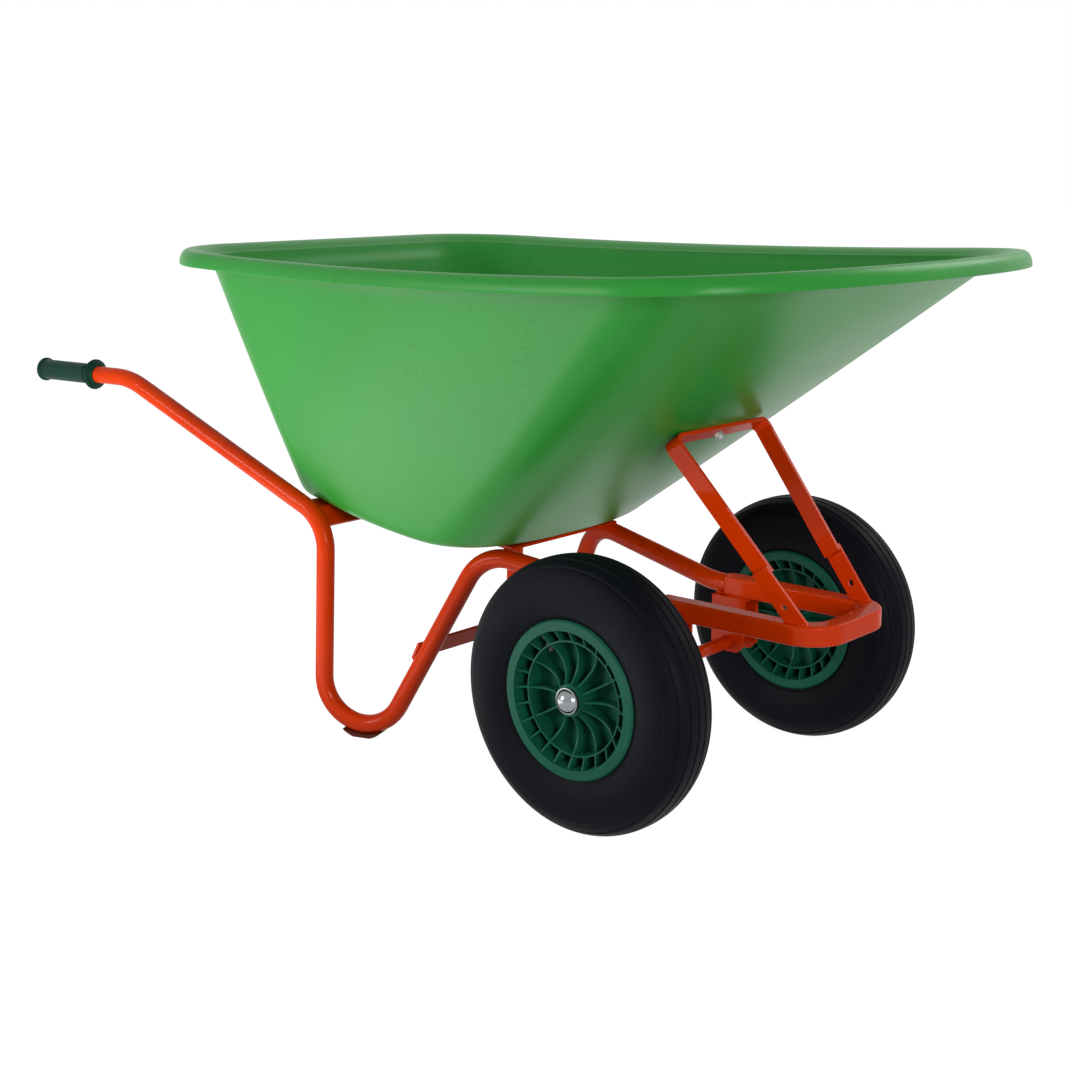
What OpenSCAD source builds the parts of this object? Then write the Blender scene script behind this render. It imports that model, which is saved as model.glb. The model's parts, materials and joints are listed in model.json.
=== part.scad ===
// Two wheel wheelbarrow: a deep plastic tray on a bent tube frame with two pneumatic wheels.
// +X is forward, +Y is to the left, +Z is up and the ground is at z = 0.

/* [Wheels] */
// Diameter of the tyre over its tread
wheel_d = 400; // [380:5:420]
// Width of the tyre at its widest
tyre_w = 97; // [90:1:104]
// Distance between the middles of the two wheels
track = 555; // [530:5:600]
// Diameter of the rim over its flanges
rim_d = 229; // [223:1:236]
// Distance between the outer faces of the rim's flanges
rim_w = 85; // [80:1:90]
// Diameter of the seat for the tyre's beads
bead_seat_d = 203; // [199:1:207]
// Length of the hub
hub_len = 76; // [70:2:80]
// Outer diameter of the hub
hub_d = 46; // [42:1:52]
// Number of long ribs on each face of the wheel
rib_count = 12; // [8:1:16]
// Thickness of the moulded ribs
rib_t = 3; // [2:0.5:4]
// Number of grooves round the tread
groove_count = 6; // [4:1:8]

/* [Axle] */
// Diameter of the axle bar
axle_d = 20; // [16:1:24]
// Outer diameter of the hub bushes
bush_d = 28; // [26:1:32]
// Length of each axle bracket along the rail
bracket_len = 60; // [50:1:70]
// Width of each axle bracket over its two cheeks
bracket_w = 40; // [36:1:50]
// Thickness of the bracket plate
bracket_t = 5; // [4:0.5:6]
// Diameter of the bright caps on the axle's ends
cap_d = 38; // [36:1:42]

/* [Frame tube] */
// Outer diameter of the frame tube
tube_d = 30; // [28:1:32]
// Wall of the frame tube
tube_wall = 2; // [1.5:0.25:2.5]
// Bend radius at the top of the leg and at the arch, to the tube's middle
bend_r = 75; // [65:1:85]
// Gentle bend radius at the handle and at the start of the rail
soft_bend_r = 150; // [120:5:180]
// Height of the level rails, to the tube's middle
rail_z = 288; // [282:1:300]
// Half the distance between the rails
rail_half = 86.5; // [80:0.5:95]
// How far behind the axle the level rail begins
rail_back = 40; // [36:1:60]
// How far ahead of the axle the front bow reaches, to the tube's middle
bow_front = 258; // [245:1:280]
// Bend radius of the bow's corners
bow_r = 45; // [40:1:56]
// How far ahead of the axle the square bow is welded to the round side tubes
seam_front = -10; // [-16:1:20]

/* [Legs and arch] */
// How far behind the axle the legs stand
leg_back = 596; // [580:1:620]
// Half the distance between the legs
leg_half = 236; // [228:1:250]
// Angle at which the legs lean forward going up
leg_lean = 2; // [0:0.5:4]
// Height at which the lines of handle and leg meet
leg_top_z = 358; // [354:1:370]
// Bend radius of the foot
foot_r = 73; // [68:1:78]
// How far behind the axle the lines of slanting leg and sloping tube meet
arch_back = 324; // [316:1:340]
// Half the distance between the arches at that corner
arch_half = 140.5; // [132:0.5:150]
// Height of that corner
arch_z = 331; // [325:1:337]
// Thickness of the wear shoe under the foot
shoe_t = 6; // [4:1:10]
// Width of the wear shoe
shoe_w = 26; // [20:1:32]
// Height of the lower crossbar
crossbar_z = 147; // [140:1:180]
// Width of the lower crossbar
crossbar_w = 32; // [25:1:40]
// Thickness of the flat bars of the frame
flat_t = 5; // [4:0.5:6]

/* [Handles] */
// How far behind the axle the handle bends level
handle_bend_back = 1042; // [1000:5:1080]
// How far behind the axle the handle tube ends
handle_back = 1262; // [1235:5:1300]
// Height of the level part of the handle
handle_z = 559; // [545:1:570]
// Angle at which the handles spread
handle_splay = 6; // [3:0.5:8]
// Length of the grip
grip_len = 148; // [130:5:180]
// Diameter of the grip
grip_d = 36; // [34:1:40]
// Diameter of the hand-guard collar
collar_d = 54; // [48:1:60]
// Diameter of the rim at the grip's end
grip_end_d = 42; // [40:1:46]

/* [Tray] */
// Wall of the tray
tray_wall = 4.5; // [3.5:0.5:6]
// Slope of the tray's floor, down towards the front
floor_tilt = 5.2; // [4:0.2:7]
// How far behind the axle the floor ends at the back
floor_back = 700; // [680:1:710]
// How far behind the axle the floor turns up into the sloping front
floor_front_back = 262; // [254:1:270]
// How far behind the axle the floor is widest
floor_shoulder_back = 385; // [370:1:400]
// Half the floor's width at the back
floor_half_back = 203; // [195:1:208]
// Half the floor's width at its widest
floor_half = 232; // [222:1:240]
// Corner radius at the back of the floor
floor_corner_r = 48; // [40:1:70]
// Radius of the edge between floor and walls
floor_edge_r = 28; // [22:1:34]
// How far the walls bulge out between floor and lip
wall_bulge = 2; // [0:0.5:5]
// How far behind the axle the crest of the lip is at the back
rim_back = 827; // [810:1:845]
// How far ahead of the axle the crest of the lip is at the nose
rim_front = 394; // [380:1:420]
// How far ahead of the axle the lip is widest
rim_shoulder_front = 160; // [130:1:180]
// Half the width of the lip's crest at the back
rim_half_back = 390; // [375:1:405]
// Half the width of the lip's crest at its widest
rim_half = 455; // [435:1:470]
// Corner radius of the lip's crest at the back
rim_corner_r = 159; // [130:1:180]
// Height of the lip's crest at the back
rim_back_z = 800; // [780:1:820]
// Height of the lip's crest at the nose
rim_front_z = 810; // [790:1:830]
// How far the lip dips between back and nose
rim_sag = 13; // [0:1:25]
// How far the lip reaches out from its crest
lip_out = 13.5; // [10:0.5:18]
// How far the lip turns down outside
lip_drop = 22; // [16:1:28]
// How far the wall stands inside the crest
lip_in = 36; // [26:1:40]
// How far the wall's top lies below the crest
lip_dip = 15; // [10:1:20]

/* [Yoke] */
// Distance of the yoke up the sloping front, from the floor's edge
yoke_up = 346; // [335:1:360]
// Width of the yoke's flat bar
yoke_w = 28; // [26:1:34]
// Thickness of the yoke's flat bar
yoke_t = 6; // [5:0.5:8]
// Half the clear width between the yoke's legs at its top
yoke_half = 111; // [105:0.5:116]
// Length of the yoke's straight legs
yoke_len = 222; // [205:1:230]
// Angle by which the legs lean forward of square
yoke_skew = 4; // [2:0.2:6]
// Angle by which each leg leans in towards the rail
yoke_toe = 6.5; // [5:0.1:7.5]
// Inside bend radius of the yoke's corners
yoke_r = 8; // [6:1:12]
// Thickness of the lugs on the rails
lug_t = 6; // [5:0.5:8]
// How far the lug laps over the yoke's leg
lug_lap = 10; // [8:1:20]
// Diameter of the hole in each lug
lug_hole_d = 10; // [8:0.5:12]

/* [Fasteners] */
// Diameter of the bolts
bolt_d = 8; // [6:1:10]
// Half the distance between the bolts in the floor strip
strip_bolt_half = 65; // [50:1:80]
// Half the distance between the bolts in the rear plate
rear_bolt_half = 110; // [90:1:130]

/* [Frame details] */
// Width of the floor strip
strip_w = 44; // [38:1:50]
// How far behind the arches' crests the middle of the floor strip lies
strip_shift = 16; // [12:1:18]
// How far behind the arches' crests the bolts of the floor strip stand
strip_bolt_shift = 26; // [24:1:28]
// Width of the rear plate's flange under the floor
rear_flange_w = 44; // [38:1:50]
// How far behind the legs the rear plate is folded
rear_fold = 22; // [16:1:28]
// Width of the rear plate's slanting web
rear_web = 36; // [30:1:42]
// Slant of the rear plate's web
rear_web_angle = 49; // [42:1:56]
// Length of the wear shoe under the foot's bend
shoe_len = 68; // [60:1:76]
// Thickness of the wear shoe at its ends
shoe_end_t = 2.5; // [2:0.5:4]
// How far the wear shoe is worn flat
shoe_wear = 2; // [1:0.5:3]
// How far the axle bracket reaches below the axle, to its middle
bracket_foot = 14; // [13:1:20]
// Corner cut of the axle bracket's cheeks
bracket_chamfer = 12; // [6:1:16]
// Height of the hole in each lug above the rail
lug_hole_rise = 22; // [18:1:26]

/* [Grip details] */
// Thickness of the grip's closed end
grip_cap = 8; // [5:1:10]
// Thickness of the hand-guard collar
collar_t = 7; // [7:1:10]
// Length of the grip ahead of its collar
nose_len = 6; // [5:1:12]
// Thickness of the rim at the grip's end
grip_rim_t = 9; // [8:1:12]
// Height of the bead round the grip
ring_h = 1.2; // [0.8:0.2:1.6]
// Distance of the bead from the collar
ring_space = 12; // [8:1:20]
// Corner cut of the grip's rim and collar
grip_round = 3; // [2:0.5:3]

/* [Axle details] */
// Thickness of the flange of a hub bush
bush_flange_t = 2; // [1.5:0.5:3]
// Diameter of the flange of a hub bush
bush_flange_d = 36; // [34:1:40]
// Length of a hub bush inside the hub
bush_len = 26; // [20:1:30]
// Thickness of the thrust washers
washer_t = 2; // [1.5:0.5:3]
// Diameter of the thrust washers
washer_d = 34; // [32:1:36]
// Outer diameter of the spacer tubes
spacer_d = 27; // [25:1:30]
// Chamfer at the axle's ends
axle_chamfer = 1.5; // [1:0.5:2]
// How far the axle reaches into its cap
cap_grip = 6; // [4:0.5:7]
// Wall of the cap
cap_t = 1.2; // [1:0.1:1.5]
// Height of the dome of the cap
cap_rise = 12; // [11:0.5:14]
// Width of the flat rim of the cap
cap_rim = 1; // [0.5:0.5:2]

/* [Tyre details] */
// Radius of the tyre's widest place, as a share of the wheel's radius
belly_share = 0.78; // [0.75:0.01:0.8]
// Width of the grooved tread, as a share of the tyre's width
tread_share = 0.92; // [0.88:0.01:0.94]
// Roundness of the tyre's shoulders, two is an ellipse
tread_power = 2.4; // [2:0.1:3]
// Thickness of the tyre under its tread
tread_wall = 9; // [7:0.5:11]
// Thickness of the tyre's side
side_wall = 6; // [5:0.5:7]
// Width of the tyre's beads
bead_w = 13; // [11:0.5:15]
// Depth of the grooves
groove_depth = 2.5; // [1.5:0.5:3.5]
// Width of the grooves
groove_w = 3.5; // [2.5:0.5:4.5]
// Wall of the inner tube
tube_skin = 2; // [1.5:0.5:3]

/* [Rim details] */
// Thickness of the rim flanges
flange_t = 4.5; // [4:0.5:5.5]
// Wall of the rim barrel in the middle
barrel_t = 4.5; // [4:0.5:5.5]
// How much wider the barrel is at its mouths
barrel_draft = 2; // [1:0.5:3]
// Thickness of the web between hub and barrel
web_t = 5; // [4:0.5:7]
// Diameter of the thin hoop that carries the long ribs
hoop_d = 164; // [150:1:168]
// Thickness of that hoop
hoop_t = 2.5; // [2:0.5:3.5]
// Depth of the hoop's edge below the flange's face
hoop_recess = 12; // [9:1:16]
// Depth of the long ribs at the hub below the flange's face
hub_recess = 10; // [8:1:14]
// Depth of the short ribs at the barrel below the flange's face
pocket_recess = 2; // [1:1:5]
// How far the long ribs dip between hub and hoop
rib_dip = 13; // [6:1:15]
// Diameter of the valve
valve_d = 8; // [7:0.5:9]
// Diameter of the valve cap
valve_cap_d = 11; // [10:0.5:12]
// Length of the valve cap
valve_cap_len = 14; // [12:1:16]
// Length of the valve
valve_len = 20; // [18:1:20]
// Diameter of the valve's flange
valve_flange_d = 13; // [12:0.5:14]
// Thickness of the valve's flange
valve_flange_t = 2.5; // [2:0.5:3]
// Distance of the valve from the wheel's middle
valve_h = 18; // [15:1:20]

/* [Fastener details] */
// Diameter of the bolts' domed heads
bolt_head_d = 20; // [16:1:22]
// Height of the bolts' heads
bolt_head_h = 4.5; // [3.5:0.5:6]
// Diameter of the washers under the heads
bolt_washer_d = 28; // [24:1:30]
// Thickness of those washers
bolt_washer_t = 1.6; // [1.2:0.2:2]
// Width of the nuts across their flats
nut_w = 13; // [13:1:17]
// Height of the nuts
nut_h = 6.5; // [5:0.5:8]
// How far a bolt reaches past its nut
bolt_tip = 4; // [2:0.5:6]

/* [Hidden] */
$fn = 64;

// Overrun of every cut
over = 1;
// Gap that a weld fills between two frame pieces
weld_gap = 0.2;
// Gap between pieces that are bolted or laid together
seat_gap = 0.2;
// Radial clearance of the bushes on the axle
run_gap = 0.05;
// Radial clearance of a bolt, or of the axle in its brackets
hole_gap = 0.3;

// Colours of the finishes
paint_c = "orangered";
shade_c = "firebrick";
tray_c = "forestgreen";
grip_c = "darkgreen";
rim_c = "seagreen";
tyre_c = "black";
zinc_c = "silver";

function unit(v) = v / norm(v);
function lerp(a, b, t) = a + (b - a) * t;
function clip(c) = max(-1, min(1, c));

// Bent tubes: a list of corner points and the bend radius at each inner corner
function run_dir(p, i) = unit(p[i + 1] - p[i]);
function turn(p, i) = acos(clip(run_dir(p, i - 1) * run_dir(p, i)));
function setback(p, r, i) = i < 1 || i > len(r) ? 0 : r[i - 1] * tan(turn(p, i) / 2);
function run_len(p, r, i) = norm(p[i + 1] - p[i]) - setback(p, r, i) - setback(p, r, i + 1);
function bend_in(p, i) = unit(run_dir(p, i) - (run_dir(p, i) * run_dir(p, i - 1)) * run_dir(p, i - 1));
function bend_out(p, i) = unit((run_dir(p, i - 1) * run_dir(p, i)) * run_dir(p, i) - run_dir(p, i - 1));
function first_side(d) = -unit([0, 0, 1] - d.z * d);
function roll(p, i) =
  let (d = run_dir(p, i - 1), side = i == 1 ? first_side(d) : bend_out(p, i - 1), b = bend_in(p, i))
  atan2(b * cross(d, side), b * side);

// A run laps into its bends by this much, and a bend is thinner than a run by the stretch
lap = 0.5;
stretch = 0.05;

// The bore runs past the tube's open ends by the given past
module tube_run(p, r, i, radius, past) {
  run = run_len(p, r, i);
  last = i == len(r);
  head = i == 0 ? past : lap;
  tail = last ? past : lap;
  translate([0, 0, -head]) cylinder(r = radius, h = run + head + tail);
  if (!last) {
    angle = turn(p, i + 1);
    translate([0, 0, run]) rotate([0, 0, roll(p, i + 1)]) translate([r[i], 0, 0]) {
      rotate([90, 0, 180]) rotate_extrude(angle = angle) translate([r[i], 0]) circle(radius - stretch);
      rotate([0, angle, 0]) translate([-r[i], 0, 0]) tube_run(p, r, i + 1, radius, past);
    }
  }
}

module bent_tube(p, r) {
  d = run_dir(p, 0);
  translate(p[0]) rotate([0, acos(d.z), atan2(d.y, d.x)]) difference() {
    tube_run(p, r, 0, tube_d / 2, 0);
    tube_run(p, r, 0, tube_d / 2 - tube_wall, over);
  }
}

// Foot: in the upright plane from leg to arch, the slanting leg is a tangent to the foot's bend
tube_r = tube_d / 2;
foot_mid_z = shoe_t + tube_r;
plan_run = [leg_back - arch_back, arch_half - leg_half];
plan_dir = unit(plan_run);
plan_angle = atan2(plan_dir.y, plan_dir.x);
foot_bend_z = foot_mid_z + foot_r;
to_arch = [norm(plan_run) - foot_r, arch_z - foot_bend_z];
slant = atan2(to_arch.y, to_arch.x) + asin(foot_r / norm(to_arch));
function foot_point(v) = [plan_dir.x * v.x - leg_back, plan_dir.y * v.x + leg_half, v.y];
function cross2(a, b) = a.x * b.y - a.y * b.x;
leg_touch = [foot_r * (1 - cos(leg_lean)), foot_bend_z + foot_r * sin(leg_lean)];
leg_dir = [sin(leg_lean), cos(leg_lean)];
slant_run = [cos(slant), sin(slant)];
leg_drop = cross2([norm(plan_run), arch_z] - leg_touch, slant_run) / cross2(leg_dir, slant_run);
leg_top = foot_point(leg_touch + leg_dir * (leg_top_z - leg_touch.y) / leg_dir.y);
foot_corner = foot_point(leg_touch + leg_dir * leg_drop);
foot_centre = foot_point([foot_r, foot_bend_z]);

function splay_y(back) = leg_top.y + (back + leg_top.x) * tan(handle_splay);
handle_end = [-handle_back, splay_y(handle_back), handle_z];
handle_bend = [-handle_bend_back, splay_y(handle_bend_back), handle_z];
arch_corner = [-arch_back, arch_half, arch_z];
side_path = [handle_end, handle_bend, leg_top, foot_corner, arch_corner,
  [-rail_back, rail_half, rail_z], [seam_front, rail_half, rail_z]];
side_bends = [soft_bend_r, bend_r, foot_r, bend_r, soft_bend_r];
// Crest of the arch, where the tube runs along the tray's floor
arch_i = 4;
floor_up = [sin(floor_tilt), 0, cos(floor_tilt)];
arch_in = run_dir(side_path, arch_i - 1);
arch_side = bend_in(side_path, arch_i);
crest_angle = atan2(arch_in * floor_up, -(arch_side * floor_up));
arch_start = arch_corner - setback(side_path, side_bends, arch_i) * arch_in;
crest = arch_start + bend_r * (sin(crest_angle) * arch_in + (1 - cos(crest_angle)) * arch_side);

// The floor strip lies on the arches, and the tray's floor lies on the strip
strip_bed = crest * floor_up + tube_r + weld_gap;
floor_bed = strip_bed + flat_t + seat_gap;
function floor_z(x) = (floor_bed - x * floor_up.x) / floor_up.z;

// Tray outline: half a ring from the middle of the back to the middle of the nose
rear_steps = 3;
corner_steps = 7;
side_steps = 6;
nose_steps = 14;
floor_power = 2.9;
rim_power = 2.25;
function half_ring(back, shoulder, front, half_back, half, corner_r, power) = concat(
  [for (i = [0 : rear_steps - 1]) [back, (half_back - corner_r) * i / rear_steps]],
  [for (i = [0 : corner_steps - 1]) let (a = 90 * i / corner_steps)
    [back + corner_r * (1 - cos(a)), half_back - corner_r * (1 - sin(a))]],
  [for (i = [0 : side_steps - 1]) let (t = i / side_steps)
    [lerp(back + corner_r, shoulder, t), lerp(half_back, half, sin(90 * t))]],
  [for (i = [0 : nose_steps]) let (a = 90 * i / nose_steps)
    [lerp(shoulder, front, pow(sin(a), 2 / power)), half * pow(cos(a), 2 / power)]]);
function whole_ring(h) = concat(h, [for (i = [len(h) - 2 : -1 : 1]) [h[i].x, -h[i].y]]);

floor_ring = whole_ring(half_ring(-floor_back, -floor_shoulder_back, -floor_front_back,
  floor_half_back, floor_half, floor_corner_r, floor_power));
rim_ring = whole_ring(half_ring(-rim_back, rim_shoulder_front, rim_front,
  rim_half_back, rim_half, rim_corner_r, rim_power));
ring_n = len(rim_ring);
function rim_z(x) =
  let (s = (x + rim_back) / (rim_front + rim_back))
  lerp(rim_back_z, rim_front_z, s) - rim_sag * 4 * s * (1 - s);

// Outward direction of the lip at each point of its crest
function ring_out(i) =
  let (t = rim_ring[(i + 1) % ring_n] - rim_ring[(i + ring_n - 1) % ring_n])
  unit([-t.y, t.x, 0]);
function crest_point(i) = [rim_ring[i].x, rim_ring[i].y, rim_z(rim_ring[i].x)];
function lip_point(i, out, up) = crest_point(i) + out * ring_out(i) + [0, 0, up];

// Wall from the floor's sharp corner to the wall's top, and its directions
function wall_foot(i) = [floor_ring[i].x, floor_ring[i].y, floor_z(floor_ring[i].x)];
function wall_top(i) = lip_point(i, -lip_in, -lip_dip);
function wall_run(i) = let (w = wall_top(i) - wall_foot(i)) [w.x, w.y, 0];
function wall_rise(i) = wall_top(i).z - wall_foot(i).z;
function wall_up(i) = unit(wall_top(i) - wall_foot(i));
function wall_side(i) = unit(wall_run(i));
function wall_len(i) = norm(wall_top(i) - wall_foot(i));
function on_floor(p) = [p.x, p.y, floor_z(p.x)];

// The inner face lies one wall inside the outer face
function inner_shift(i) =
  tray_wall * (norm(wall_run(i)) * [0, 0, 1] - wall_rise(i) * wall_side(i)) / wall_len(i);
function inner_foot(i) = wall_foot(i) + [0, 0, tray_wall]
  + wall_side(i) * tray_wall * (norm(wall_run(i)) - wall_len(i)) / wall_rise(i);
function curve(a, b, c, u) = (1 - u) * (1 - u) * a + 2 * u * (1 - u) * b + u * u * c;
function outer_edge(i, u) = curve(on_floor(wall_foot(i) - wall_side(i) * floor_edge_r), wall_foot(i),
  wall_foot(i) + wall_up(i) * floor_edge_r, u);
function inner_edge(i, u) =
  curve(on_floor(inner_foot(i) - wall_side(i) * floor_edge_r) + [0, 0, tray_wall], inner_foot(i),
    inner_foot(i) + wall_up(i) * floor_edge_r, u);
function bulge(i, t) = -inner_shift(i) / tray_wall * wall_bulge * 4 * t * (1 - t);
function outer_wall(i, t) = lerp(outer_edge(i, 1), wall_top(i), t) + bulge(i, t);
function inner_wall(i, t) = lerp(inner_edge(i, 1), wall_top(i) + inner_shift(i), t) + bulge(i, t);
function under_lip(i, t) =
  lip_point(i, -lip_in * (1 - t), -tray_wall - (lip_dip - tray_wall) * (1 - t) * (1 - t));
function over_lip(i, t) = lip_point(i, -lip_in * t, -lip_dip * t * t);
function lip_inside(i, a) =
  lip_point(i, (lip_out - tray_wall) * sin(a), -tray_wall - (lip_drop - tray_wall) * (1 - cos(a)));
function lip_outside(i, a) = lip_point(i, lip_out * sin(a), -lip_drop * (1 - cos(a)));

edge_steps = 5;
wall_steps = 6;
lip_steps = 3;
roll_steps = 4;
function ring_of(kind, v) = [for (i = [0 : ring_n - 1])
  kind == "outer edge" ? outer_edge(i, v) :
  kind == "outer wall" ? outer_wall(i, v) :
  kind == "under lip" ? under_lip(i, v) :
  kind == "lip inside" ? lip_inside(i, v) :
  kind == "lip outside" ? lip_outside(i, v) :
  kind == "over lip" ? over_lip(i, v) :
  kind == "inner wall" ? inner_wall(i, v) : inner_edge(i, v)];
function tray_rings() = concat(
  [for (k = [0 : edge_steps]) ring_of("outer edge", k / edge_steps)],
  [for (k = [1 : wall_steps]) ring_of("outer wall", k / wall_steps)],
  [for (k = [1 : lip_steps]) ring_of("under lip", k / lip_steps)],
  [for (k = [1 : roll_steps]) ring_of("lip inside", 90 * k / roll_steps)],
  [for (k = [roll_steps : -1 : 0]) ring_of("lip outside", 90 * k / roll_steps)],
  [for (k = [1 : lip_steps - 1]) ring_of("over lip", k / lip_steps)],
  [for (k = [wall_steps : -1 : 1]) ring_of("inner wall", k / wall_steps)],
  [for (k = [edge_steps : -1 : 0]) ring_of("inner edge", k / edge_steps)]);

// A closed skin through rings of equal length, the first and last ring closed by flat faces
module loft(rings) {
  n = len(rings[0]);
  last = len(rings) - 1;
  polyhedron(
    points = [for (ring = rings) each ring],
    faces = concat(
      [[for (i = [n - 1 : -1 : 0]) i]],
      [for (j = [0 : last - 1], i = [0 : n - 1]) let (k = (i + 1) % n)
        each [[j * n + i, j * n + k, (j + 1) * n + k], [j * n + i, (j + 1) * n + k, (j + 1) * n + i]]],
      [[for (i = [0 : n - 1]) last * n + i]]));
}

// Fastening places: square to the floor at the strip and at the rear plate, square to the front at the yoke
rear_fold_back = leg_back + rear_fold;
rear_bolt_x = -rear_fold_back - rear_flange_w / 2;
strip_bolt_x = crest.x - strip_bolt_shift;
floor_bolts = [for (s = [-1, 1])
  each [[strip_bolt_x, s * strip_bolt_half], [rear_bolt_x, s * rear_bolt_half]]];
module at_floor_bolts() {
  for (b = floor_bolts) translate([b.x, b.y, floor_z(b.x)]) rotate([0, floor_tilt, 0]) children();
}

front_i = rear_steps + corner_steps + side_steps + nose_steps;
front_foot = wall_foot(front_i);
front_slope = atan2(wall_rise(front_i), norm(wall_run(front_i)));
function front_point(up) = front_foot + up * wall_up(front_i)
  + bulge(front_i, (up - floor_edge_r) / (wall_len(front_i) - floor_edge_r));
module at_front(up) {
  translate(front_point(up)) rotate([0, -front_slope, 0]) children();
}

// The object stands with its origin under the middle of its box
grip_tip_back = handle_back + grip_cap * cos(handle_splay) + grip_end_d / 2 * sin(handle_splay);
axle_x = (grip_tip_back - rim_front - lip_out) / 2;
module place() {
  translate([axle_x, 0, 0]) children();
}
module right_side() {
  mirror([0, 1, 0]) children();
}

module tray() {
  color(tray_c) place() difference() {
    loft(tray_rings());
    at_floor_bolts() translate([0, 0, -over]) cylinder(d = bolt_d + 2 * hole_gap, h = tray_wall + 2 * over);
    at_front(yoke_up) translate([0, 0, -over]) cylinder(d = bolt_d + 2 * hole_gap, h = tray_wall + 2 * over);
  }
}

module side_tube() {
  color(paint_c) bent_tube(side_path, side_bends);
}

// Front bow: square tube with rounded edges, bent round the front
bow_edge_r = 4;
module bow_section(size, edge_r) {
  square([size - 2 * edge_r, size], center = true);
  square([size, size - 2 * edge_r], center = true);
  for (x = [-1, 1], y = [-1, 1]) translate((size / 2 - edge_r) * [x, y]) circle(edge_r);
}
module bow_solid(size, edge_r, past) {
  run = bow_front - bow_r - seam_front + past;
  half = rail_half - bow_r;
  for (s = [0, 1]) mirror([0, s, 0]) {
    translate([seam_front - past, rail_half, rail_z]) rotate([90, 0, 90])
      linear_extrude(run) bow_section(size, edge_r);
    translate([bow_front - bow_r, half, rail_z]) rotate_extrude(angle = 90)
      translate([bow_r, 0]) bow_section(size, edge_r);
  }
  translate([bow_front, half, rail_z]) rotate([90, 0, 0]) linear_extrude(2 * half) bow_section(size, edge_r);
}
module front_bow() {
  color(paint_c) place() difference() {
    bow_solid(tube_d, bow_edge_r, 0);
    bow_solid(tube_d - 2 * tube_wall, bow_edge_r - tube_wall, over);
  }
}

// Grip: a closed smooth sleeve with a guard collar, a bead behind it and a rim at its end
grip_gap = 0.15;
module grip() {
  bore_r = tube_r + grip_gap;
  body_r = grip_d / 2;
  collar_at = grip_len - nose_len - collar_t;
  ring_at = collar_at - ring_space;
  color(grip_c) translate(handle_end) rotate([0, 90, -handle_splay]) translate([0, 0, -grip_cap])
    difference() {
      rotate_extrude() polygon(concat(
        [[0, 0], [grip_end_d / 2 - grip_round, 0], [grip_end_d / 2, grip_round],
          [grip_end_d / 2, grip_rim_t - grip_round], [body_r, grip_rim_t]],
        [[body_r, ring_at - ring_h], [body_r + ring_h, ring_at - ring_h / 2],
          [body_r + ring_h, ring_at + ring_h / 2], [body_r, ring_at + ring_h]],
        [[body_r, collar_at - grip_round], [collar_d / 2 - grip_round, collar_at],
          [collar_d / 2, collar_at + grip_round], [collar_d / 2, collar_at + collar_t - grip_round],
          [collar_d / 2 - grip_round, collar_at + collar_t], [body_r, collar_at + collar_t + grip_round],
          [body_r - ring_h, grip_len], [0, grip_len]]));
      translate([0, 0, grip_cap - grip_gap]) cylinder(r = bore_r, h = grip_len);
    }
}

// Rear plate: a folded plate between the tubes, its flange bolted under the floor
module rear_cross_plate() {
  half = leg_top.y - tube_r - weld_gap;
  bed = floor_z(-rear_fold_back) - seat_gap / cos(floor_tilt);
  color(shade_c) place() difference() {
    union() {
      translate([-rear_fold_back, -half, bed]) rotate([0, floor_tilt, 0])
        translate([-rear_flange_w, 0, -flat_t]) cube([rear_flange_w, 2 * half, flat_t]);
      translate([-rear_fold_back, 0, bed]) rotate([90, 0, 0])
        linear_extrude(2 * half, center = true) polygon([
          [0, 0], rear_web * [cos(rear_web_angle), -sin(rear_web_angle)],
          rear_web * [cos(rear_web_angle), -sin(rear_web_angle)]
            - flat_t * [sin(rear_web_angle), cos(rear_web_angle)],
          [-flat_t * tan((rear_web_angle + floor_tilt) / 2), -flat_t] ]);
    }
    at_floor_bolts() translate([0, 0, -flat_t - seat_gap - over])
      cylinder(d = bolt_d + 2 * hole_gap, h = flat_t + 2 * over);
  }
}

module floor_strip() {
  color(shade_c) place() difference() {
    translate([crest.x, 0, (strip_bed - crest.x * floor_up.x) / floor_up.z]) rotate([0, floor_tilt, 0])
      translate([-strip_w / 2 - strip_shift, -crest.y, 0])
        cube([strip_w, 2 * crest.y, flat_t]);
    at_floor_bolts() translate([0, 0, -flat_t - seat_gap - over])
      cylinder(d = bolt_d + 2 * hole_gap, h = flat_t + 2 * over);
  }
}

// Crossbar: a flat bar welded to the backs of the two slanting legs
slant_dir = [plan_dir.x * cos(slant), plan_dir.y * cos(slant), sin(slant)];
bar_angle = atan2(slant_dir.z, slant_dir.x);
bar_mid = arch_corner + slant_dir * (crossbar_z - arch_z) / slant_dir.z;
module lower_crossbar() {
  length = 2 * bar_mid.y + tube_r;
  color(shade_c) place() translate([bar_mid.x, 0, bar_mid.z]) rotate([0, -bar_angle, 0])
    translate([-crossbar_w / 2, -length / 2, tube_r + weld_gap]) cube([crossbar_w, length, flat_t]);
}

// Wear shoe: a crescent under the foot's bend, thin at its ends and worn flat on the ground
module wear_shoe() {
  bend = foot_r + tube_r;
  half = shoe_len / 2;
  bend_drop = bend - sqrt(bend * bend - half * half);
  drop = bend_drop + shoe_t + shoe_wear - shoe_end_t;
  shoe_r = (half * half + drop * drop) / (2 * drop);
  low = bend + shoe_t + shoe_wear;
  color(shade_c) difference() {
    translate(foot_centre) rotate([0, 0, plan_angle]) rotate([90, 0, 0])
      linear_extrude(shoe_w, center = true) difference() {
        intersection() {
          translate([0, shoe_r - low]) circle(shoe_r);
          translate([-half, -low - over]) square([shoe_len, low]);
        }
        circle(bend + weld_gap);
      }
    translate([foot_centre.x - low, foot_centre.y - low, -low]) cube([2 * low, 2 * low, low]);
  }
}

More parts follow.
